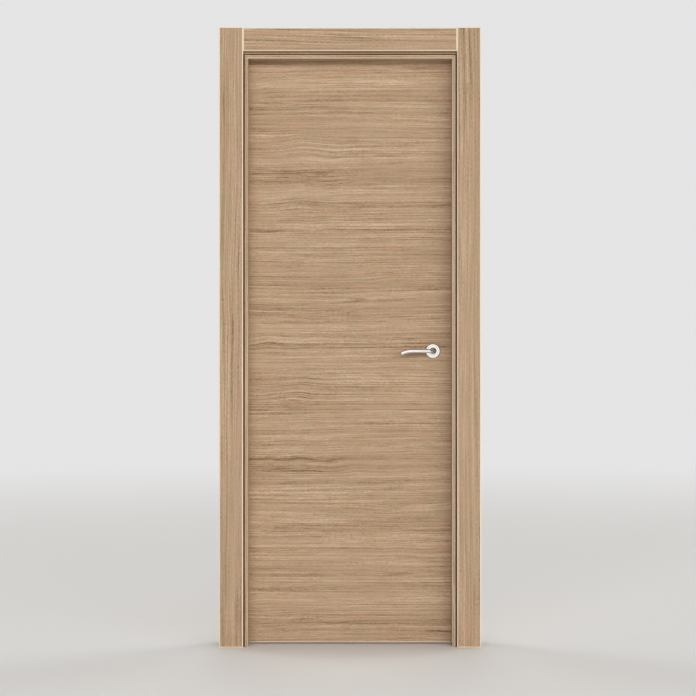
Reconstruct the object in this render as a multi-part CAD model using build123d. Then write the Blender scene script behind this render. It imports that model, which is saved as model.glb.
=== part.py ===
from build123d import *
from math import cos, radians, sin, tan
import os

# Flush oak door, hung on butt hinges in a rebated oak frame with architraves on both sides.
# X runs to the latch side, Y to the side that the leaf opens to, Z up. The origin is on the
# wall face of the hinge jamb, at floor level, halfway through the frame's depth.

# Driving dimensions in millimetres
leaf_width = 725.0
leaf_height = 2030.0
leaf_thickness = 35.0
leaf_arris = 2.0
lock_edge_bevel = 2.5
edge_gap = 5.2
floor_gap = 6.0

frame_depth = 90.0
rebate_wood = 24.0
stop_width = 16.5
frame_arris = 1.8
shadow_groove_width = 4.8
shadow_groove_depth = 10.0
head_reveal_depth = 5.0

architrave_width = 82.0
architrave_thickness = 12.0
architrave_arris = 3.0
head_architrave_width = 80.0
head_architrave_lift = 7.3
side_above_head = 2.5
back_reveal = 12.0

face_sheet = 4.0
lipping_width = 12.0

seal_stem_width = 3.0
seal_stem_depth = 5.0
seal_from_rebate = 6.0
seal_clear = 0.5
seal_bulb_radius = 3.4

hinge_height = 100.0
hinge_wing = 27.0
hinge_plate = 3.0
knuckle_radius = 6.5
knuckle_count = 5
knuckle_gap = 0.4
pin_radius = 3.2
pin_offset = 8.0
pin_cap_height = 3.0
hinge_screws = [(8.0, -38.0), (17.0, -12.5), (8.0, 12.5), (17.0, 38.0)]
screw_hole = 2.3
screw_head = 4.1
bottom_hinge_from_leaf = 230.0
top_hinge_from_leaf = 180.0

backset = 75.0
handle_height = 1018.0
rose_radius = 25.5
rose_base = 7.0
rose_edge = 3.0
rose_middle_radius = 19.0
rose_thickness = 9.5
rose_middle_edge = 1.8
neck_radius = 9.0
neck_start = 1.0
flare_gap = 0.4
flare_radius = 14.0
flare_rim = 1.0
waist_radius = 6.6
grip_blend = 6.0
grip_root_height = 13.0
grip_root_thickness = 11.5
grip_tip_height = 15.0
grip_tip_thickness = 10.0
grip_standoff = 43.0
grip_bend = 13.0
grip_straight = 72.0
grip_drop_radius = 89.0
grip_drop_angle = 27.0
grip_tip_round = 3.6
spindle_side = 8.0
spindle_grip = 18.0
running_clearance = 0.06

latch_radius = 11.0
latch_bore = 11.3
latch_wall = 1.2
latch_past_spindle = 15.0
latch_hub = 26.0
spindle_hole = 6.2
spindle_bore = 12.0
faceplate_height = 57.0
faceplate_width = 25.0
faceplate_thickness = 2.5
faceplate_corner = 5.0
faceplate_screw = 20.5
bolt_height = 15.0
bolt_width = 11.0
bolt_length = 34.0
bolt_slope = 7.0
bolt_nose = 3.0

strike_height = 64.0
strike_thickness = 2.0
strike_inset = 31.0
strike_hole_height = 22.0
strike_hole_width = 15.0
strike_corner = 5.0
strike_screw = 24.0
strike_lip_height = 34.0
strike_lip_radius = 8.0
strike_lip_turn = 50.0
pocket_depth = 14.0

# Places worked out from the driving dimensions
frame_front = -frame_depth / 2
frame_back = frame_depth / 2
rebate_x = rebate_wood
stop_x = rebate_x + stop_width
leaf_left = rebate_x + edge_gap
leaf_right = leaf_left + leaf_width
leaf_back = frame_back
leaf_front = leaf_back - leaf_thickness
leaf_middle = (leaf_front + leaf_back) / 2
leaf_bottom = floor_gap
leaf_top = leaf_bottom + leaf_height
stop_y = leaf_front - edge_gap
frame_width = 2 * rebate_x + leaf_width + 2 * edge_gap
frame_middle = frame_width / 2
frame_top = leaf_top + edge_gap + rebate_wood
rebate_top = leaf_top + edge_gap
latch_rebate_x = frame_width - rebate_x
bevel_cut = leaf_thickness * tan(radians(lock_edge_bevel))

architrave_outer = rebate_x - architrave_width
architrave_front = frame_front - architrave_thickness
architrave_back = frame_back + architrave_thickness
head_architrave_bottom = rebate_top + head_architrave_lift
head_architrave_top = head_architrave_bottom + head_architrave_width
side_architrave_top = head_architrave_top + side_above_head

pin_x = rebate_x + edge_gap / 2
pin_y = frame_back + pin_offset
hinge_heights = {
    "bottom": leaf_bottom + bottom_hinge_from_leaf,
    "middle": (leaf_bottom + bottom_hinge_from_leaf + leaf_top - top_hinge_from_leaf) / 2,
    "top": leaf_top - top_hinge_from_leaf,
}
spindle_x = leaf_right - backset
spindle_z = handle_height
lock_edge_x = leaf_right - bevel_cut / 2
flare_top = rose_thickness + flare_gap + flare_rim
waist_height = flare_top + flare_radius - waist_radius


def block(x0, x1, y0, y1, z0, z1):
    """A square-edged block between three pairs of planes."""
    centre = Pos((x0 + x1) / 2, (y0 + y1) / 2, (z0 + z1) / 2)
    return centre * Box(x1 - x0, y1 - y0, z1 - z0)


def other_side(solid):
    """The same piece for the latch side, mirrored about the middle of the doorway."""
    return mirror(solid, about=Plane(origin=(frame_middle, 0, 0), z_dir=(1, 0, 0)))


def laid_across(section, length, height):
    """A section drawn for the hinge side, run along the head with its wall side up."""
    bar = extrude(section, length)
    return Pos(0, 0, height) * Rot(0, 90, 0) * bar


def mitre_waste(height, depth_front, depth_back):
    """The wedge above the mitre that starts at the top of the wall face and falls inwards."""
    reach = stop_x + 10
    corners = [(0, height), (reach, height), (reach, height - reach)]
    outline = Plane.XZ * make_face(Polyline(*corners, close=True))
    wedge = extrude(outline, depth_back - depth_front)
    return Pos(0, depth_back, 0) * wedge


def countersink():
    """What a countersunk screw hole takes out of a plate whose shown face is at Z 0 and faces up."""
    shank = Pos(0, 0, -10) * Cylinder(screw_hole, 24)
    funnel_depth = screw_head - screw_hole
    return shank + Pos(0, 0, -funnel_depth / 2) * Cone(screw_hole, screw_head, funnel_depth)


# Frame
def frame_section():
    """Rebated frame section: a shadow groove beside the architrave, and one for the seal in the stop."""
    shadow_far = rebate_x + shadow_groove_width
    seal_near = rebate_x + seal_from_rebate
    seal_far = seal_near + seal_stem_width
    corners = [
        (0, frame_front),
        (rebate_x, frame_front),
        (rebate_x, frame_front + shadow_groove_depth),
        (shadow_far, frame_front + shadow_groove_depth),
        (shadow_far, frame_front),
        (stop_x, frame_front),
        (stop_x, stop_y),
        (seal_far, stop_y),
        (seal_far, stop_y - seal_stem_depth),
        (seal_near, stop_y - seal_stem_depth),
        (seal_near, stop_y),
        (rebate_x, stop_y),
        (rebate_x, frame_back),
        (0, frame_back),
    ]
    section = make_face(Polyline(*corners, close=True))
    rounded = [(shadow_far, frame_front), (stop_x, frame_front), (stop_x, stop_y), (rebate_x, frame_back)]
    arrises = [v for v in section.vertices() if (round(v.X, 3), round(v.Y, 3)) in
               [(round(x, 3), round(y, 3)) for x, y in rounded]]
    return fillet(arrises, frame_arris)


def mitred_jamb(section):
    """A side piece from the floor to the mitre under the head."""
    return extrude(section, frame_top) - mitre_waste(frame_top, frame_front - 20, frame_back + 20)


def mitred_head(section):
    """A head piece with a mitre at each end, made of the same section as the sides."""
    bar = laid_across(section, frame_width, frame_top)
    side = block(-1, stop_x + 10, frame_front - 20, frame_back + 20, frame_top - stop_x - 10, frame_top + 1)
    end = side - mitre_waste(frame_top, frame_front - 20, frame_back + 20)
    return bar - end - other_side(end)


def head_jamb():
    """Head of the frame: the strip between its groove and the head architrave is set back into shadow."""
    reveal = block(rebate_x, frame_width - rebate_x, frame_front - 1, frame_front + head_reveal_depth,
                   rebate_top - 1, head_architrave_bottom)
    return mitred_head(frame_section()) - reveal


def hinge_recess(height):
    """The shallow housing for one hinge wing, in the jamb and in the edge of the leaf."""
    low = height - hinge_height / 2
    high = height + hinge_height / 2
    return block(rebate_x - hinge_plate, leaf_left + hinge_plate, frame_back - hinge_wing,
                 frame_back + 1, low, high)


def hinge_jamb():
    """Hinge side of the frame, housed out for three hinges."""
    jamb = mitred_jamb(frame_section())
    for height in hinge_heights.values():
        jamb -= hinge_recess(height)
    return jamb


def latch_jamb():
    """Latch side of the frame, housed out for the strike plate and with a pocket for the bolt."""
    jamb = other_side(mitred_jamb(frame_section()))
    jamb -= strike_blank()
    pocket = block(latch_rebate_x - 1, latch_rebate_x + strike_thickness + pocket_depth,
                   leaf_middle - strike_hole_width / 2, leaf_middle + strike_hole_width / 2,
                   spindle_z - strike_hole_height / 2, spindle_z + strike_hole_height / 2)
    return jamb - pocket


# Architraves
def architrave(x0, x1, z0, z1, front_side, ends_rounded):
    """Flat architrave against the wall. The arrises of its shown face are rounded, at free ends too."""
    wall_face = frame_front if front_side else frame_back
    show_face = architrave_front if front_side else architrave_back
    board = block(x0, x1, min(wall_face, show_face), max(wall_face, show_face), z0, z1)
    shown = board.faces().sort_by(Axis.Y)[0 if front_side else -1]
    along = Axis.Z if z1 - z0 > x1 - x0 else Axis.X
    arrises = shown.edges() if ends_rounded else shown.edges().filter_by(along)
    return fillet(arrises, architrave_arris)


def side_architrave(front_side):
    """Upright architrave of the hinge side, from the floor to just above the head piece."""
    inner = rebate_x if front_side else rebate_x - back_reveal
    return architrave(architrave_outer, inner, 0, side_architrave_top, front_side, True)


def head_architrave(front_side):
    """Head architrave, cut square between the two upright ones."""
    inner = rebate_x if front_side else rebate_x - back_reveal
    low = head_architrave_bottom if front_side else rebate_top + back_reveal
    return architrave(inner, frame_width - inner, low, head_architrave_top, front_side, False)


# Seal
def seal_section():
    """Rubber seal: a stem in the groove of the stop and a bulb that faces the leaf."""
    near = rebate_x + seal_from_rebate
    stem = Pos(near + seal_stem_width / 2, stop_y - seal_stem_depth / 2) * Rectangle(
        seal_stem_width, seal_stem_depth)
    height = edge_gap - seal_clear
    bulb = Pos(near + seal_stem_width / 2, stop_y + height - seal_bulb_radius) * Circle(seal_bulb_radius)
    outside = Pos(near, stop_y + 10) * Rectangle(20, 20)
    return (stem + (bulb & outside)).face()


# Leaf
def leaf_blank():
    """The whole leaf: lock edge bevelled so that it swings clear, all arrises eased."""
    corners = [(leaf_left, leaf_front), (leaf_right - bevel_cut, leaf_front),
               (leaf_right, leaf_back), (leaf_left, leaf_back)]
    blank = Pos(0, 0, leaf_bottom) * extrude(make_face(Polyline(*corners, close=True)), leaf_height)
    faces = blank.faces().sort_by(Axis.Y)
    return fillet(faces[0].edges() + faces[-1].edges(), leaf_arris)


def leaf_layer(blank, y0, y1):
    """One layer of the leaf between two depths."""
    return blank & block(leaf_left - 1, leaf_right + 1, y0, y1, leaf_bottom - 1, leaf_top + 1)


def leaf_housings():
    """What is cut out of the leaf: hinge housings, latch bore, faceplate housing, spindle bore."""
    cuts = [hinge_recess(height) for height in hinge_heights.values()]
    bore_length = backset + latch_past_spindle + 1
    cuts.append(Pos(leaf_right - bore_length / 2 + 1, leaf_middle, spindle_z) * Rot(0, 90, 0)
                * Cylinder(latch_bore, bore_length))
    cuts.append(faceplate_blank())
    cuts.append(Pos(spindle_x, leaf_middle, spindle_z) * Rot(90, 0, 0)
                * Cylinder(spindle_bore, leaf_thickness + 2))
    return cuts


def leaf_pieces():
    """Core, two face sheets and four edge lippings, all cut from one blank."""
    blank = leaf_blank()
    inner_front = leaf_front + face_sheet
    inner_back = leaf_back - face_sheet
    middle = leaf_layer(blank, inner_front, inner_back)
    core_left = leaf_left + lipping_width
    core_right = leaf_right - lipping_width
    core_bottom = leaf_bottom + lipping_width
    core_top = leaf_top - lipping_width
    deep = (inner_front - 1, inner_back + 1)
    pieces = {
        "leaf_front_face": leaf_layer(blank, leaf_front - 1, inner_front),
        "leaf_back_face": leaf_layer(blank, inner_back, leaf_back + 1),
        "leaf_core": block(core_left, core_right, inner_front, inner_back, core_bottom, core_top),
        "leaf_hinge_edge": middle & block(leaf_left - 1, core_left, *deep, 0, frame_top),
        "leaf_lock_edge": middle & block(core_right, leaf_right + 1, *deep, 0, frame_top),
        "leaf_top_edge": middle & block(core_left, core_right, *deep, core_top, frame_top),
        "leaf_bottom_edge": middle & block(core_left, core_right, *deep, 0, core_bottom),
    }
    cuts = leaf_housings()
    for name in pieces:
        for cut in cuts:
            pieces[name] -= cut
    return pieces


# Hinges
def knuckle_spans(first):
    """Lower and upper end of every second knuckle, counted from the bottom."""
    step = hinge_height / knuckle_count
    spans = []
    for number in range(first, knuckle_count, 2):
        low = number * step + (knuckle_gap / 2 if number else 0)
        high = (number + 1) * step - (knuckle_gap / 2 if number < knuckle_count - 1 else 0)
        spans.append((low - hinge_height / 2, high - hinge_height / 2))
    return spans


def hinge_wing_solid(height, plate_x, first, clearance):
    """One wing of a butt hinge: a flush plate with four screw holes, its knuckles rolled round the pin."""
    wing = block(plate_x, plate_x + hinge_plate, frame_back - hinge_wing, frame_back,
                 height - hinge_height / 2, height + hinge_height / 2)
    for low, high in knuckle_spans(first):
        arm = block(plate_x, plate_x + hinge_plate, frame_back, pin_y, height + low, height + high)
        barrel = Pos(pin_x, pin_y, height + (low + high) / 2) * Cylinder(knuckle_radius, high - low)
        wing += arm + barrel
    wing -= Pos(pin_x, pin_y, height) * Cylinder(pin_radius + clearance, hinge_height + 2)
    faces_latch = plate_x < rebate_x
    shown_x = plate_x + hinge_plate if faces_latch else plate_x
    for across, up in hinge_screws:
        spot = Pos(shown_x, frame_back - hinge_wing + across, height + up)
        wing -= spot * Rot(0, 90 if faces_latch else -90, 0) * countersink()
    return wing


def hinge_pin(height):
    """Hinge pin with a domed cap at each end."""
    cap_middle = (hinge_height + pin_cap_height) / 2
    cap = Pos(0, 0, cap_middle) * Cylinder(knuckle_radius - 0.4, pin_cap_height)
    cap = fillet(cap.faces().sort_by(Axis.Z)[-1].edges(), pin_cap_height * 0.7)
    pin = Cylinder(pin_radius, hinge_height) + cap + mirror(cap, about=Plane.XY)
    return Pos(pin_x, pin_y, height) * pin


# Latch and strike
def on_lock_edge():
    """Frame on the bevelled lock edge at the latch: local Z points out of the leaf."""
    return Pos(lock_edge_x, leaf_middle, spindle_z) * Rot(0, 0, -lock_edge_bevel) * Rot(0, 90, 0)


def faceplate_blank():
    """Latch faceplate before its bolt hole is cut, flush with the lock edge."""
    outline = RectangleRounded(faceplate_height, faceplate_width, faceplate_corner)
    return on_lock_edge() * extrude(outline, -faceplate_thickness)


def latch_faceplate():
    """Faceplate with its hole for the bolt and two countersunk screw holes."""
    hole = on_lock_edge() * Box(bolt_height + 0.8, bolt_width + 0.8, 4 * faceplate_thickness)
    plate = faceplate_blank() - hole
    for up in (-faceplate_screw, faceplate_screw):
        plate -= on_lock_edge() * Pos(up, 0, 0) * countersink()
    return plate


def latch_case():
    """Tubular latch case: a thin tube for the bolt and a solid hub with the spindle's hole."""
    start = lock_edge_x - faceplate_thickness - 1.0
    end = spindle_x - latch_past_spindle
    tube = Cylinder(latch_radius, start - end)
    tube = Pos((start + end) / 2, leaf_middle, spindle_z) * Rot(0, 90, 0) * tube
    hollow_end = spindle_x + latch_hub / 2
    hollow = Pos((start + 1 + hollow_end) / 2, leaf_middle, spindle_z) * Rot(0, 90, 0)
    tube -= hollow * Cylinder(latch_radius - latch_wall, start + 1 - hollow_end)
    return tube - Pos(spindle_x, leaf_middle, spindle_z) * Rot(90, 0, 0) * Cylinder(spindle_hole, 40)


def latch_bolt():
    """Latch bolt, drawn in flush with the faceplate, sloped on the side that meets the strike."""
    low_z = spindle_z - bolt_height / 2
    high_z = spindle_z + bolt_height / 2
    low_y = leaf_middle - bolt_width / 2
    high_y = leaf_middle + bolt_width / 2
    bar = block(leaf_right - bolt_length, leaf_right + 5, low_y, high_y, low_z, high_z)
    bar -= on_lock_edge() * Pos(0, 0, 10) * Box(40, 40, 20)
    tip = leaf_right - bevel_cut / 2
    slope = [(tip - bolt_slope, low_y), (tip + 5, low_y), (tip + 5, high_y - bolt_nose),
             (tip, high_y - bolt_nose)]
    return bar - Pos(0, 0, low_z) * extrude(make_face(Polyline(*slope, close=True)), bolt_height)


def strike_blank():
    """Strike plate before its hole is cut, flush with the rebate of the latch jamb."""
    low_y = frame_back - strike_inset
    plate = block(latch_rebate_x, latch_rebate_x + strike_thickness, low_y, frame_back,
                  spindle_z - strike_height / 2, spindle_z + strike_height / 2)
    corners = plate.edges().filter_by(Axis.X).group_by(Axis.Y)[0]
    return fillet(corners, strike_corner)


def strike_plate():
    """Strike plate with the bolt's hole, two screw holes and a lip that curves away past the frame's edge."""
    ring = Circle(strike_lip_radius) - Circle(strike_lip_radius - strike_thickness)
    far = 2 * strike_lip_radius
    turned = make_face(Polyline((0, 0), (-far, 0), (-far, far * tan(radians(strike_lip_turn))), close=True))
    lip = extrude(ring & turned, strike_lip_height)
    lip = Pos(latch_rebate_x + strike_lip_radius, frame_back, spindle_z - strike_lip_height / 2) * lip
    hole = block(latch_rebate_x - 1, latch_rebate_x + strike_thickness + 1,
                 leaf_middle - strike_hole_width / 2, leaf_middle + strike_hole_width / 2,
                 spindle_z - strike_hole_height / 2, spindle_z + strike_hole_height / 2)
    plate = strike_blank() + lip - hole
    for up in (-strike_screw, strike_screw):
        spot = Pos(latch_rebate_x, frame_back - strike_inset / 2, spindle_z + up)
        plate -= spot * Rot(0, -90, 0) * countersink()
    return plate


# Handle
def on_front_face(solid):
    """Place a handle piece drawn with X to the right, Y up and Z out of the leaf."""
    return Pos(spindle_x, leaf_front, spindle_z) * Rot(90, 0, 0) * solid


def on_back_face(solid):
    """The same piece on the other face of the leaf."""
    return mirror(on_front_face(solid), about=Plane(origin=(0, leaf_middle, 0), z_dir=(0, 1, 0)))


def rose():
    """Round rose: a base with a rolled edge, a raised middle, and a running hole for the lever's neck."""
    base = Pos(0, 0, rose_base / 2) * Cylinder(rose_radius, rose_base)
    base = fillet(base.faces().sort_by(Axis.Z)[-1].edges(), rose_edge)
    raised = Cylinder(rose_middle_radius, rose_thickness - rose_base)
    raised = Pos(0, 0, (rose_base + rose_thickness) / 2) * raised
    raised = fillet(raised.faces().sort_by(Axis.Z)[-1].edges(), rose_middle_edge)
    hole = Pos(0, 0, rose_thickness / 2) * Cylinder(neck_radius + running_clearance, rose_thickness + 2)
    return base + raised - hole


def lever_neck():
    """Neck of the lever: it turns in the rose, flares out over it and narrows to the grip."""
    flare_start = rose_thickness + flare_gap
    outline = (Polyline((0, neck_start), (neck_radius, neck_start), (neck_radius, flare_start),
                        (flare_radius, flare_start), (flare_radius, flare_top))
               + TangentArc((flare_radius, flare_top), (waist_radius, waist_height), tangent=(-1, 0))
               + Polyline((waist_radius, waist_height), (0, waist_height), (0, neck_start)))
    return revolve(Plane.XZ * make_face(outline), Axis.Z)


def grip_path(start):
    """Centre line of the grip: out of the leaf, round to the hinge side, then down to the tip."""
    turn = radians(grip_drop_angle)
    bend_start = (0, 0, grip_standoff - grip_bend)
    bend_end = (-grip_bend, 0, grip_standoff)
    droop_start = (-grip_straight, 0, grip_standoff)
    tip = (-grip_straight - grip_drop_radius * sin(turn), -grip_drop_radius * (1 - cos(turn)), grip_standoff)
    return Wire((Line((0, 0, start), bend_start)
                 + TangentArc(bend_start, bend_end, tangent=(0, 0, 1))
                 + Line(bend_end, droop_start)
                 + TangentArc(droop_start, tip, tangent=(-1, 0, 0))).edges())


def grip_section(height, thickness):
    """Flat oval section of the grip, with its height across the lever."""
    return RectangleRounded(thickness, height, thickness * 0.48)


def lever():
    """Lever: flared neck, then an oval bar that bends along the leaf, droops and widens to its tip."""
    path = grip_path(waist_height + grip_blend)
    root_section = Pos(0, 0, waist_height + grip_blend) * grip_section(grip_root_height, grip_root_thickness)
    tip_plane = Plane(origin=path.position_at(1), x_dir=(0, 0, 1), z_dir=path.tangent_at(1))
    tip_section = tip_plane * grip_section(grip_tip_height, grip_tip_thickness)
    blend = loft([Pos(0, 0, waist_height) * Circle(waist_radius).face(), root_section.face()])
    grip = sweep([root_section.face(), tip_section.face()], path=path, multisection=True)
    grip = fillet(grip.faces().sort_by(Axis.X)[0].edges(), grip_tip_round)
    socket = Pos(0, 0, neck_start + spindle_grip / 2) * Box(spindle_side, spindle_side, spindle_grip)
    return lever_neck() + blend + grip - socket


def spindle():
    """Square spindle that joins both levers through the latch."""
    reach = spindle_grip + neck_start
    return block(spindle_x - spindle_side / 2, spindle_x + spindle_side / 2, leaf_front - reach,
                 leaf_back + reach, spindle_z - spindle_side / 2, spindle_z + spindle_side / 2)


def all_pieces():
    """Every piece by name, in the order in which the door is put together."""
    pieces = {
        "hinge_jamb": hinge_jamb(),
        "latch_jamb": latch_jamb(),
        "head_jamb": head_jamb(),
    }
    for side in ("front", "back"):
        upright = side_architrave(side == "front")
        pieces[side + "_architrave_hinge_side"] = upright
        pieces[side + "_architrave_latch_side"] = other_side(upright)
        pieces[side + "_architrave_head"] = head_architrave(side == "front")
    seal = mitred_jamb(seal_section())
    pieces["seal_hinge_side"] = seal
    pieces["seal_latch_side"] = other_side(seal)
    pieces["seal_head"] = mitred_head(seal_section())
    pieces["strike_plate"] = strike_plate()
    pieces.update(leaf_pieces())
    for place, height in hinge_heights.items():
        frame_wing = hinge_wing_solid(height, rebate_x - hinge_plate, 0, running_clearance / 2)
        leaf_wing = hinge_wing_solid(height, leaf_left, 1, running_clearance)
        pieces["hinge_frame_wing_" + place] = frame_wing
        pieces["hinge_leaf_wing_" + place] = leaf_wing
        pieces["hinge_pin_" + place] = hinge_pin(height)
    pieces["latch_case"] = latch_case()
    pieces["latch_faceplate"] = latch_faceplate()
    pieces["latch_bolt"] = latch_bolt()
    pieces["rose_front"] = on_front_face(rose())
    pieces["rose_back"] = on_back_face(rose())
    pieces["lever_front"] = on_front_face(lever())
    pieces["lever_back"] = on_back_face(lever())
    pieces["spindle"] = spindle()
    return pieces


os.makedirs("parts", exist_ok=True)
for name, solid in all_pieces().items():
    export_step(solid, "parts/" + name + ".step")
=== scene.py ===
import math
import bmesh
import bpy
from mathutils import Matrix, Vector


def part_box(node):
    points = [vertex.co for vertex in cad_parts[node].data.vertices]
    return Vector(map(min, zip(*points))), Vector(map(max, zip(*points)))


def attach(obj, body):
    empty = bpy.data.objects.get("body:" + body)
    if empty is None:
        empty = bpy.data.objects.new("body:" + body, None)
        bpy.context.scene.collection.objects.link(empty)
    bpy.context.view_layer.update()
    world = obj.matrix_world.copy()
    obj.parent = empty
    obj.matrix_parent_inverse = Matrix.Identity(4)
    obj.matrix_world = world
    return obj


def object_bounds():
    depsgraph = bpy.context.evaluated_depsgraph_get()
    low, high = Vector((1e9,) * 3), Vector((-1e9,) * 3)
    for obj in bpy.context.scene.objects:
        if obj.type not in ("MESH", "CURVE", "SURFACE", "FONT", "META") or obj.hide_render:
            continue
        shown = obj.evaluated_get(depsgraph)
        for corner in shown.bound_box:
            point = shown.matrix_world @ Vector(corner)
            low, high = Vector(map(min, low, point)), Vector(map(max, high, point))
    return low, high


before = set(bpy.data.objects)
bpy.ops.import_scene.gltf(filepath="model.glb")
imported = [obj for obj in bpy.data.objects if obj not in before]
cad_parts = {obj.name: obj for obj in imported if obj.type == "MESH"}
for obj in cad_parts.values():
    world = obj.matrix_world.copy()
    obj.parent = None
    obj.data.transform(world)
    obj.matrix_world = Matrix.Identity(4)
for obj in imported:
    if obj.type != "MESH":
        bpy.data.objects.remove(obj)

cad_low, cad_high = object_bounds()
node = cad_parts


# Frame jambs
# Three rebated lengths of lacquered oak, mitred at the top corners and fixed through their plain
# backs. A shadow groove runs beside the architrave, and the stop carries the seal.
class Number:
    """A number that changes over a surface. Sums written with it add the nodes that work them out."""

    def __init__(self, tree, socket):
        self.tree = tree
        self.socket = socket

    def other(self, name):
        """Another output of the same node."""
        return Number(self.tree, self.tree.pick(self.socket.node.outputs, name))

    def maths(self, operation, *terms):
        return self.tree.node("ShaderNodeMath", {"operation": operation}, dict(enumerate(terms)))

    def __add__(self, term):
        return self.maths("ADD", self, term)

    def __radd__(self, term):
        return self.maths("ADD", term, self)

    def __sub__(self, term):
        return self.maths("SUBTRACT", self, term)

    def __rsub__(self, term):
        return self.maths("SUBTRACT", term, self)

    def __mul__(self, term):
        return self.maths("MULTIPLY", self, term)

    def __rmul__(self, term):
        return self.maths("MULTIPLY", term, self)

    def __truediv__(self, term):
        return self.maths("DIVIDE", self, term)

    def __pow__(self, term):
        return self.maths("POWER", self, term)

    def __abs__(self):
        return self.maths("ABSOLUTE", self)

    def least(self, term):
        return self.maths("MINIMUM", self, term)

    def most(self, term):
        return self.maths("MAXIMUM", self, term)

    def step(self, low, high):
        """0 at low, 1 at high and a smooth rise between them."""
        smooth = {"interpolation_type": "SMOOTHSTEP"}
        inputs = {"Value": self, "From Min": low, "From Max": high}
        return self.tree.node("ShaderNodeMapRange", smooth, inputs)


class Tree:
    """The nodes of a material or of the studio's surroundings."""

    def __init__(self, owner):
        owner.use_nodes = True
        self.nodes = owner.node_tree.nodes
        self.links = owner.node_tree.links

    def pick(self, sockets, name):
        """A socket by number, or by name among those that the node's settings leave in use."""
        if isinstance(name, int):
            return sockets[name]
        return [socket for socket in sockets if socket.name == name and socket.enabled][0]

    def feed(self, socket, value):
        if isinstance(value, Number):
            self.links.new(value.socket, socket)
        else:
            socket.default_value = value

    def node(self, kind, settings, inputs, output=0):
        """A node of a kind: its settings first, and then the values or links of its sockets."""
        made = self.nodes.new(kind)
        for setting, value in settings.items():
            if setting == "stops":
                stops = made.color_ramp.elements
                while len(stops) < len(value):
                    stops.new(1.0)
                for stop, (position, colour) in zip(stops, value):
                    stop.position = position
                    stop.color = colour
            else:
                setattr(made, setting, value)
        for name, value in inputs.items():
            self.feed(self.pick(made.inputs, name), value)
        return Number(self, self.pick(made.outputs, output))

    def noise(self, x, y, z, detail=0.0, roughness=0.5):
        """Soft noise about 0, rarely past -0.25 or 0.25, with a feature for about each unit of x, y and z."""
        where = self.node("ShaderNodeCombineXYZ", {}, {"X": x, "Y": y, "Z": z})
        inputs = {"Vector": where, "Scale": 1.0, "Detail": detail, "Roughness": roughness}
        return self.node("ShaderNodeTexNoise", {"noise_dimensions": "3D"}, inputs, "Fac") - 0.5

    def mix(self, amount, first, second):
        """Two colours mixed: the second by this amount."""
        inputs = {"Factor": amount, "A": first, "B": second}
        return self.node("ShaderNodeMix", {"data_type": "RGBA"}, inputs, "Result")

    def blend(self, amount, first, second):
        """Two shaders mixed: the second by this amount."""
        return self.node("ShaderNodeMixShader", {}, {0: amount, 1: first, 2: second})


class Finish(Tree):
    """A material being made: its shader, and the nodes that feed it."""

    def __init__(self, name, **fixed):
        self.material = bpy.data.materials.new(name)
        super().__init__(self.material)
        self.shader = self.nodes["Principled BSDF"]
        self.paint(**fixed)

    def paint(self, **inputs):
        """Feed the shader, as in paint(base_color=colour, roughness=0.4)."""
        for name, value in inputs.items():
            self.feed(self.shader.inputs[name.replace("_", " ").title().replace("Ior", "IOR")], value)

    def place(self):
        """Places on the piece along X, Y and Z, in metres in the door's own frame."""
        here = self.node("ShaderNodeTexCoord", {}, {}, "Object")
        split = self.node("ShaderNodeSeparateXYZ", {}, {"Vector": here})
        return [split.other(axis) for axis in "XYZ"]

    def patches(self, features, detail=0.0):
        """Noise with about this many features a metre in every direction."""
        return self.noise(*[place * features for place in self.place()], detail)

    def relief(self, height, depth):
        """Bump of a height that goes from 0 to 1, this many metres deep."""
        inputs = {"Height": height, "Distance": depth, "Strength": 1.0}
        self.paint(normal=self.node("ShaderNodeBump", {}, inputs, "Normal"))


def srgb(red, green, blue):
    """A colour as a screen shows it, from 0 to 255 each, turned into light."""
    return (*[((v / 255 + 0.055) / 1.055) ** 2.4 for v in (red, green, blue)], 1.0)


oak_pore = srgb(112, 82, 54)
oak_dark = srgb(128, 100, 71)
oak_brown = srgb(165, 136, 106)
oak_middle = srgb(183, 154, 125)
oak_pale = srgb(197, 168, 139)
oak_light = srgb(214, 187, 158)
oak_pink = srgb(191, 153, 124)
oak_olive = srgb(179, 156, 120)
oak_in_shade = srgb(86, 58, 34)
oak_arris_highlight = srgb(255, 236, 208)
arris_width = 0.004


def from_arris(places, low, high):
    """How far a place on a box lies from the nearest of its edges, which is the middle one of its distances
    from the box's faces. None stands for faces too far away to count."""
    reaches = []
    for place, near, last in zip(places, low, high):
        if near is not None:
            reaches.append(abs(abs(place - (near + last) / 2) - (last - near) / 2))
    if len(reaches) == 2:
        return reaches[0].most(reaches[1])
    first, second, third = reaches
    return first.least(second).most(first.most(second).least(third))


def inside(places, low, high):
    """1 in a box and 0 outside it. None stands for faces too far away to count."""
    soft = 0.0003
    within = 1.0
    for place, near, last in zip(places, low, high):
        if near is not None:
            reach = (last - near) / 2
            within = within * (1 - abs(place - near - reach).step(reach - soft, reach))
    return within


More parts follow.
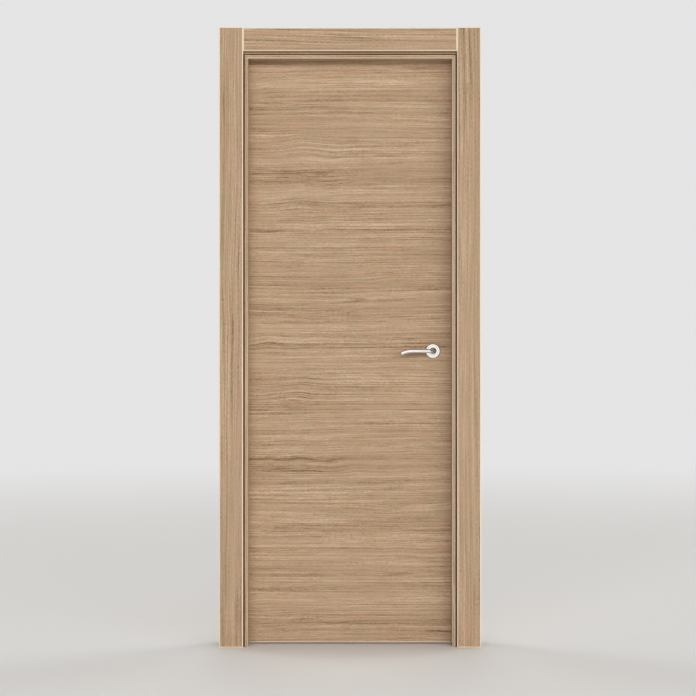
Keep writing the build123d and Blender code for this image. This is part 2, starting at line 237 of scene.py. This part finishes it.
def oak(name, grain, shift, edges=(), arris_highlight=0.9, figure=0.5, shaded_groove=None):
    """Lacquered oak with its grain upright, or level along X. shift takes the pattern from another part of
    the log. edges are boxes, as (low, high), whose arrises get a painted highlight, as strong as the next
    argument says. figure is how much the fibres dip and break into flecks. The last is a box of painted
    shade."""
    finish = Finish(name, coat_weight=0.08, coat_roughness=0.3, specular_ior_level=0.3)
    places = finish.place()
    x, y, z = [place + moved for place, moved in zip(places, shift)]
    along, across = (z, x) if grain == "upright" else (x, z)

    # The fibres sweep slowly across the board and dip here and there.
    sweep = finish.noise(along * 1.0, across * 2.4, y * 2.4, 1.0, 0.35)
    curl = finish.noise(along * 2.6, across * 9, y * 9).step(0.05, 0.25) * figure
    wave = finish.noise(along * 7, across * 9, y * 9)
    bent = across + sweep * 0.045 + wave * curl * 0.026

    def fibres(lengthwise, crosswise, detail=0.0):
        """Noise that follows the bent fibres, with this many features a metre along and across them."""
        return finish.noise(along * lengthwise, bent * crosswise, y * crosswise, detail)

    # Tones run along the fibres, from those as broad as a hand to those as fine as a hair.
    tone = fibres(0.7, 9, 1.0)
    band = fibres(1.0, 38)
    streak = fibres(1.6, 110)
    hair = fibres(1.3, 250)
    strand = fibres(5, 330)
    fleck = fibres(20, 360)
    grit = fibres(95, 420)
    busy = 0.6 + fibres(1.6, 15, 1.0).step(-0.18, 0.18) * 0.6
    fine = (hair * 0.9 + strand * 0.66 + fleck * (0.5 * figure) + grit * 0.6) * busy

    # Growth rings show as thin dark and light lines, and each seam has a darker layer on one side.
    growth = fibres(0.3, 15)
    seam = 1 - abs(growth).step(0.0, 0.0075)
    seam = seam * fibres(1.8, 12, 1.0).step(-0.2, 0.08)
    layer = growth.step(-0.02, 0.06)
    rings = fibres(0.7, 40)
    strength = fibres(2.8, 60, 1.0).step(-0.05, 0.2)
    dark_line = (1 - abs(rings).step(0.0, 0.017)) * strength
    light_line = (1 - abs(rings - 0.05).step(0.0, 0.012)) * strength

    # Together they say how light the oak is, and its hue turns a little to pink or olive.
    light = 0.54 + tone * 0.38 - layer * 0.08 + band * 0.05 + streak * 0.04 + fine
    light = light - seam * 0.34 - dark_line * 0.26 + light_line * 0.14
    light = 0.5 + (light - 0.49) * (1.2 - 0.2 * figure)
    stops = [(0.0, oak_dark), (0.28, oak_brown), (0.5, oak_middle), (0.72, oak_pale), (1.0, oak_light)]
    colour = finish.node("ShaderNodeValToRGB", {"stops": stops}, {"Fac": light}, "Color")
    hue = fibres(12, 80, 1.0)
    colour = finish.mix(hue.step(0.0, 0.25) * 0.6, colour, oak_pink)
    colour = finish.mix((hue * -1).step(0.0, 0.25) * 0.6, colour, oak_olive)

    # Open pores, a painted highlight on the arrises and painted shade in the groove lie over the grain.
    pore = fibres(70, 1700, 1.0).step(0.13, 0.22)
    colour = finish.mix(pore * 0.3, colour, oak_pore)
    # Painted highlight: the arrises are painted paler, standing in for the light that eased edges catch.
    for low, high in edges:
        painted_highlight = 1 - from_arris(places, low, high).step(arris_width * 0.6, arris_width)
        colour = finish.mix(painted_highlight * arris_highlight, colour, oak_arris_highlight)
    # Painted shade: the oak in the groove is darkened, standing in for the shade deep in the recess.
    if shaded_groove:
        colour = finish.mix(inside(places, *shaded_groove) * 0.75, colour, oak_in_shade)
    finish.paint(base_color=colour, roughness=0.45 - fine * 0.2 + dark_line * 0.12)
    grain_depth = 0.0001
    finish.relief(0.5 + fine - seam * 0.3 - dark_line * 0.4 - pore * 0.3, grain_depth)
    return finish.material


def cover(name, material):
    """Give a node its one material."""
    node[name].data.materials.clear()
    node[name].data.materials.append(material)


jamb_low, jamb_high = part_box("hinge_jamb")
head_low, head_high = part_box("head_jamb")
frame_width = head_high.x
rebate_wood = 0.024
shadow_groove = 0.0048
stop_y = 0.0048
stop_x = jamb_high.x

# The nose of a length lies between its shadow groove and the opening, and carries the stop.
nose_x = rebate_wood + shadow_groove
nose_z = head_high.z - nose_x
# The noses' arrises get a weaker painted highlight, weakest on the hinge side.
nose_highlight = 0.4
shaded_nose_highlight = 0.1
hinge_nose = [((nose_x, jamb_low.y, None), (stop_x, stop_y, None))]
latch_nose = [((frame_width - stop_x, jamb_low.y, None), (frame_width - nose_x, stop_y, None))]
head_nose = [((None, head_low.y, head_low.z), (None, stop_y, nose_z))]

# The painted shade begins just inside the groove's mouth and takes in its sides and its floor.
groove_mouth = 0.0006
painted_shade_depth = 0.011
painted_shade_past_side = 0.0004
groove_low_y = jamb_low.y + groove_mouth
groove_high_y = jamb_low.y + painted_shade_depth
groove_from = rebate_wood - painted_shade_past_side
groove_to = nose_x + painted_shade_past_side
hinge_groove = ((groove_from, groove_low_y, None), (groove_to, groove_high_y, None))
latch_groove = ((frame_width - groove_to, groove_low_y, None),
                (frame_width - groove_from, groove_high_y, None))
head_groove = ((None, groove_low_y, head_high.z - groove_to),
               (None, groove_high_y, head_high.z - groove_from))

cover("hinge_jamb", oak("jamb_oak_hinge_side", "upright", (3.1, 0.4, 1.0),
                        hinge_nose, shaded_nose_highlight, shaded_groove=hinge_groove))
cover("latch_jamb", oak("jamb_oak_latch_side", "upright", (7.7, 0.9, 2.6),
                        latch_nose, nose_highlight, shaded_groove=latch_groove))
cover("head_jamb", oak("jamb_oak_head", "level", (1.3, 2.2, 5.2),
                       head_nose, nose_highlight, shaded_groove=head_groove))


# Seal
# A soft brown rubber seal in three lengths, mitred like the jambs. Its stem is pressed into the
# groove of the stop, and its bulb closes the gap to the leaf.
seal_brown = srgb(74, 56, 44)
seal_worn = srgb(98, 78, 62)
rubber = Finish("seal_rubber", specular_ior_level=0.35)
dust = rubber.patches(90, 3.0)
rubber.paint(base_color=rubber.mix(dust.step(-0.05, 0.25) * 0.5, seal_brown, seal_worn),
             roughness=0.62 + dust * 0.3)
rubber.relief(0.5 + rubber.patches(1500, 2.0), 0.00005)
for side in ("hinge_side", "latch_side", "head"):
    cover("seal_" + side, rubber.material)


# Strike plate
# Satin stainless steel, stamped from 2 mm sheet with its lip rolled round the frame's edge. It is
# let in flush beside the bolt's pocket and held by two countersunk screws.
def brushed(name, colour, smooth, brushing):
    """Satin metal with fine brushing, upright or level along X. smooth is its roughness."""
    finish = Finish(name, metallic=1.0)
    x, y, z = finish.place()
    along, across = (z, x + y) if brushing == "upright" else (x, z + y)
    hair = finish.noise(along * 60, across * 5000, 0.0, 3.0, 0.6)
    cloud = finish.patches(35)
    worn = tuple(part * 0.82 for part in colour[:3]) + (1.0,)
    finish.paint(base_color=finish.mix(cloud.step(-0.2, 0.25) * 0.5, colour, worn),
                 roughness=smooth + hair * 0.18 + cloud * 0.12)
    finish.relief(0.5 + hair, 0.00002)
    return finish.material


def placed(name, bm, material, body):
    """A finished mesh as a piece that rides on a body."""
    mesh = bpy.data.meshes.new(name)
    bm.to_mesh(mesh)
    bm.free()
    piece = bpy.data.objects.new(name, mesh)
    piece.data.materials.append(material)
    bpy.context.scene.collection.objects.link(piece)
    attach(piece, body)
    return piece


screw_radius = 0.0039
screw_dome = screw_radius * 0.12
screw_depth = screw_radius * 0.5
screw_taper = 0.55
screw_sides = 32
recess_reach = screw_radius * 0.56
recess_half = screw_radius * 0.13
recess_depth = screw_radius * 0.45
recess_taper = 0.6


def screw_head():
    """One countersunk screw head about the origin, facing up, with a tapered cross recess."""
    head = bmesh.new()
    bmesh.ops.create_circle(head, cap_ends=True, segments=screw_sides, radius=screw_radius)
    for line in (-recess_reach, -recess_half, recess_half, recess_reach):
        for direction in ((1, 0, 0), (0, 1, 0)):
            everything = head.verts[:] + head.edges[:] + head.faces[:]
            at = Vector(direction) * line
            bmesh.ops.bisect_plane(head, geom=everything, plane_co=at, plane_no=direction)
    rim = [edge for edge in head.edges if edge.is_boundary]
    cross = []
    for face in head.faces:
        reach, offset = sorted((abs(part) for part in face.calc_center_median()[:2]), reverse=True)
        if reach < recess_reach and offset < recess_half:
            cross.append(face)
    sunk = bmesh.ops.extrude_face_region(head, geom=cross)["geom"]
    bmesh.ops.delete(head, geom=cross, context="FACES_ONLY")
    recess_floor = [part for part in sunk if isinstance(part, bmesh.types.BMVert)]
    bmesh.ops.translate(head, verts=recess_floor, vec=(0, 0, -recess_depth))
    bmesh.ops.scale(head, verts=recess_floor, vec=(recess_taper, recess_taper, 1))
    skirt = bmesh.ops.extrude_edge_only(head, edges=rim)["geom"]
    foot = [part for part in skirt if isinstance(part, bmesh.types.BMVert)]
    bmesh.ops.scale(head, verts=foot, vec=(screw_taper, screw_taper, 1))
    bmesh.ops.translate(head, verts=foot, vec=(0, 0, -screw_depth))
    bmesh.ops.holes_fill(head, edges=[edge for edge in head.edges if edge.is_boundary])
    for vert in head.verts:
        reach = vert.co.xy.length / screw_radius
        vert.co.z += screw_dome * (1 - reach * reach)
    return head


def screws(name, spots, outward, body, material):
    """Countersunk screws at these spots, facing outward, as one piece, each turned as a hand leaves it."""
    facing = Vector(outward).to_track_quat("Z", "Y").to_matrix().to_4x4()
    bm = bmesh.new()
    first_turn = 0.3
    further_turn = 2.4
    for number, spot in enumerate(spots):
        head = screw_head()
        turn = Matrix.Rotation(first_turn + number * further_turn, 4, "Z")
        bmesh.ops.transform(head, verts=head.verts, matrix=Matrix.Translation(spot) @ facing @ turn)
        one = bpy.data.meshes.new("one_screw")
        head.to_mesh(one)
        head.free()
        bm.from_mesh(one)
        bpy.data.meshes.remove(one)
    bmesh.ops.recalc_face_normals(bm, faces=bm.faces)
    piece = placed(name, bm, material, body)


steel_grey = srgb(186, 184, 178)
plate_steel = brushed("plate_steel", steel_grey, 0.32, "upright")
cover("strike_plate", plate_steel)
strike_low, strike_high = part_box("strike_plate")
strike_face = frame_width - rebate_wood
strike_middle_z = (strike_low.z + strike_high.z) / 2
strike_screw_gap = 0.024
strike_screw_row = 0.0155
strike_screw_y = strike_low.y + strike_screw_row
spots = [(strike_face, strike_screw_y, strike_middle_z + strike_screw_gap * way) for way in (-1, 1)]
screws("strike_screws", spots, (-1, 0, 0), "frame", plate_steel)


# Hinges
# Three butt hinges in satin nickel. Each has a wing let into the jamb and one into the leaf's edge,
# rolled knuckles that interleave round a loose pin with domed caps, and four screws in each wing.
nickel = srgb(198, 194, 186)
hinge_finish = brushed("hinge_nickel", nickel, 0.26, "upright")
screw_rows = (-0.038, -0.0125, 0.0125, 0.038)
screw_columns = (0.008, 0.017, 0.008, 0.017)
for height in ("bottom", "middle", "top"):
    for side, outward, body in (("frame", (1, 0, 0), "frame"), ("leaf", (-1, 0, 0), "leaf")):
        wing = "hinge_" + side + "_wing_" + height
        cover(wing, hinge_finish)
        low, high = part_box(wing)
        middle = (low.z + high.z) / 2
        face = rebate_wood if side == "frame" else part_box("leaf_hinge_edge")[0].x
        spots = [(face, low.y + column, middle + row) for column, row in zip(screw_columns, screw_rows)]
        screws("hinge_" + side + "_screws_" + height, spots, outward, body, hinge_finish)
    cover("hinge_pin_" + height, hinge_finish)


# Leaf
# A flush leaf, 35 mm thick: a core of joined softwood strips framed by oak lippings, with an oak
# sheet glued on each face, its grain level. All the outer arrises are eased.
leaf_low, leaf_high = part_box("leaf_front_face")
leaf_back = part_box("leaf_back_face")[1]
leaf_highlight = 0.6
leaf_figure = 1.0
leaf_edges = [((leaf_low.x, leaf_low.y, leaf_low.z), (leaf_high.x, leaf_back.y, leaf_high.z))]
cover("leaf_front_face", oak("leaf_oak_front", "level", (0.0, 0.0, 0.0),
                             leaf_edges, leaf_highlight, leaf_figure))
cover("leaf_back_face", oak("leaf_oak_back", "level", (4.3, 1.7, 3.3),
                            leaf_edges, leaf_highlight, leaf_figure))
cover("leaf_hinge_edge", oak("leaf_oak_hinge_edge", "upright", (5.1, 3.1, 0.6), leaf_edges, leaf_highlight))
cover("leaf_lock_edge", oak("leaf_oak_lock_edge", "upright", (9.4, 2.5, 1.9), leaf_edges, leaf_highlight))
cover("leaf_top_edge", oak("leaf_oak_top_edge", "level", (2.6, 5.5, 7.1), leaf_edges, leaf_highlight))
cover("leaf_bottom_edge", oak("leaf_oak_bottom_edge", "level", (6.2, 4.8, 8.4), leaf_edges, leaf_highlight))

softwood_pale = srgb(206, 182, 142)
softwood_brown = srgb(168, 136, 94)
strip_width = 0.06
core = Finish("softwood_strips", roughness=0.75)
x, y, z = core.place()
strip = (x / strip_width).maths("FLOOR")
shade = core.noise(strip * 3.7, 0.5, 0.5) + core.noise(x * 260, y * 260, z * 4, 2.0) * 0.8
core.paint(base_color=core.mix((shade * 1.6 + 0.5).step(0.0, 1.0), softwood_pale, softwood_brown))
core.relief(shade + 0.5, 0.0002)
cover("leaf_core", core.material)


# Latch
# A tubular latch in the leaf's edge: a zinc-plated case, a stainless faceplate let in flush and
# held by two screws, and a nickel bolt, sloped on the side that meets the strike.
zinc = srgb(196, 196, 192)
zinc_finish = brushed("latch_zinc", zinc, 0.4, "level")
bolt_finish = brushed("bolt_nickel", nickel, 0.18, "level")
cover("latch_case", zinc_finish)
cover("latch_faceplate", plate_steel)
cover("latch_bolt", bolt_finish)
plate_low, plate_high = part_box("latch_faceplate")
plate_middle = (plate_low + plate_high) / 2
plate_half_width = 0.0125
lock_edge_bevel = math.radians(2.5)
plate_outward = Vector((math.cos(lock_edge_bevel), -math.sin(lock_edge_bevel), 0))
plate_surface_x = plate_high.x - plate_half_width * math.sin(lock_edge_bevel)
plate_surface = Vector((plate_surface_x, plate_middle.y, plate_middle.z))
faceplate_screw_gap = 0.0205
spots = [plate_surface + Vector((0, 0, faceplate_screw_gap * way)) for way in (-1, 1)]
screws("faceplate_screws", spots, plate_outward, "leaf", plate_steel)


# Handle
# Cast and polished chrome levers on both sides, joined by a square steel spindle. Each lever's neck
# turns in a round rose that is fixed to the leaf.
chrome_grey = srgb(224, 222, 217)
chrome = Finish("polished_chrome", metallic=1.0)
smear = chrome.patches(60, 3.0)
chrome.paint(base_color=chrome_grey, roughness=0.07 + smear.step(0.0, 0.3) * 0.06)
for name in ("rose_front", "rose_back", "lever_front", "lever_back"):
    cover(name, chrome.material)
cover("spindle", zinc_finish)


# Architraves
# Flat lacquered oak architraves with eased arrises, pinned round the frame on both of its sides.
# The two upright ones run past the head one, which is cut square between them.
shifts = {"hinge_side": (0.7, 6.1, 4.0), "latch_side": (2.9, 7.3, 6.5), "head": (8.5, 8.2, 9.0)}
head_highlight = 0.8
upright_highlight = 1.0
past_back = Vector((0, 0.05, 0))
for face, further in (("front", 0.0), ("back", 10.0)):
    for side, shift in shifts.items():
        name = face + "_architrave_" + side
        low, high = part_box(name)
        shift = tuple(part + further for part in shift)

        # The box of painted highlight reaches past the piece's back, so that only its outer arrises are
        # paler.
        if face == "front":
            high = high + past_back
        else:
            low = low - past_back
        grain, arris_highlight = ("level", head_highlight) if side == "head" else ("upright", upright_highlight)
        cover(name, oak("architrave_oak_" + face + "_" + side, grain, shift, [(low, high)], arris_highlight))


# Floor, backdrop and lamps
# A plain pale studio: a low row of soft lamps from the camera's left to far on its right, a shorter
# row behind the door, one lamp overhead, and even light from all round that fills the shadows.
backdrop_pale = 0.78
even_light = 0.09

# Metal mirrors these greys, from straight in front of the door at 0 to straight behind it at 1.
mirror_greys = [(0.0, 1.0), (0.02, 1.0), (0.05, 0.06), (0.28, 0.1), (0.42, 0.52), (0.65, 0.5), (1.0, 0.4)]
mirror_strength = 1.5

# The floor fades into the backdrop between these distances from the door.
haze_from = 3.0
haze_to = 9.0
floor_pale = srgb(226, 224, 221)
floor_reach = 60.0
floor_sides = 64


def seen_or_mirrored(tree):
    """1 where a ray comes straight from the camera or off metal or glass, 0 where it only lights things."""
    path = tree.node("ShaderNodeLightPath", {}, {}, "Is Camera Ray")
    return path.most(path.other("Is Glossy Ray")).most(path.other("Is Transmission Ray"))


studio_floor = Finish("studio_floor", base_color=floor_pale, roughness=0.75, specular_ior_level=0.2)
x, y, z = studio_floor.place()
middle_x = (cad_low.x + cad_high.x) / 2
far_off = (((x - middle_x) ** 2 + y ** 2) ** 0.5).step(haze_from, haze_to)
haze = studio_floor.node("ShaderNodeEmission", {}, {"Strength": backdrop_pale})
painted = Number(studio_floor, studio_floor.shader.outputs["BSDF"])
surface = studio_floor.blend(far_off * seen_or_mirrored(studio_floor), painted, haze)
studio_floor.feed(studio_floor.nodes["Material Output"].inputs["Surface"], surface)
bm = bmesh.new()
bmesh.ops.create_circle(bm, cap_ends=True, segments=floor_sides, radius=floor_reach)
floor_mesh = bpy.data.meshes.new("studio_floor")
bm.to_mesh(floor_mesh)
bm.free()
floor = bpy.data.objects.new("studio_floor", floor_mesh)
floor.data.materials.append(studio_floor.material)
bpy.context.scene.collection.objects.link(floor)

world = bpy.data.worlds.new("studio")
bpy.context.scene.world = world
studio = Tree(world)
white = (1, 1, 1, 1)
direction = studio.node("ShaderNodeTexCoord", {}, {}, "Generated")
depth = studio.node("ShaderNodeSeparateXYZ", {}, {"Vector": direction}).other("Y")
stops = [(position, (grey, grey, grey, 1.0)) for position, grey in mirror_greys]
greys = studio.node("ShaderNodeValToRGB", {"stops": stops}, {"Fac": depth * 0.5 + 0.5}, "Color")
even = studio.node("ShaderNodeBackground", {}, {"Color": white, "Strength": even_light})
seen = studio.node("ShaderNodeBackground", {}, {"Color": white, "Strength": backdrop_pale})
mirrored = studio.node("ShaderNodeBackground", {}, {"Color": greys, "Strength": mirror_strength})
glossy = studio.node("ShaderNodeLightPath", {}, {}, "Is Glossy Ray")
surface = studio.blend(glossy, studio.blend(seen_or_mirrored(studio), even, seen), mirrored)
studio.feed(studio.nodes["World Output"].inputs["Surface"], surface)

lamp_distance = 5.0


def lamp(name, azimuth, elevation, strength, spread):
    """A far lamp that shines from this azimuth, 0 being the camera's side, and this elevation."""
    data = bpy.data.lights.new(name, "SUN")
    data.energy = strength
    data.angle = math.radians(spread)
    light = bpy.data.objects.new(name, data)
    turn, rise = math.radians(azimuth), math.radians(elevation)
    towards = Vector((math.sin(turn) * math.cos(rise), -math.cos(turn) * math.cos(rise), math.sin(rise)))
    light.rotation_euler = towards.to_track_quat("Z", "Y").to_euler()
    light.location = towards * lamp_distance
    light.visible_camera = False
    light.visible_glossy = False
    bpy.context.scene.collection.objects.link(light)


front_lamps = 6
front_first_azimuth = -26
front_azimuth_step = 17
front_rise = 0.29
front_strength = 0.38
front_spread = 15
for number in range(front_lamps):
    azimuth = front_first_azimuth + front_azimuth_step * number
    elevation = math.degrees(math.atan(front_rise * math.cos(math.radians(azimuth))))
    lamp("front_lamp_" + str(number), azimuth, elevation, front_strength, front_spread)
back_lamps = 3
back_first_azimuth = 120
back_azimuth_step = 60
back_elevation = 25
back_strength = 0.68
back_spread = 28
for number in range(back_lamps):
    azimuth = back_first_azimuth + back_azimuth_step * number
    lamp("back_lamp_" + str(number), azimuth, back_elevation, back_strength, back_spread)
top_strength = 1.1
top_spread = 12
lamp("top_lamp", 0, 90, top_strength, top_spread)

# The camera looks level and square at the front of the door.
camera_place = (0.3845, -5.457, 1.0285)
camera_turn = (math.radians(90), 0, 0)
camera_lens = 81.36
film_width = 36
camera_data = bpy.data.cameras.new("camera")
camera_data.sensor_width = film_width
camera_data.lens = camera_lens
camera = bpy.data.objects.new("camera", camera_data)
camera.location = camera_place
camera.rotation_euler = camera_turn
bpy.context.scene.collection.objects.link(camera)
bpy.context.scene.camera = camera
bpy.context.scene.view_settings.view_transform = "Standard"
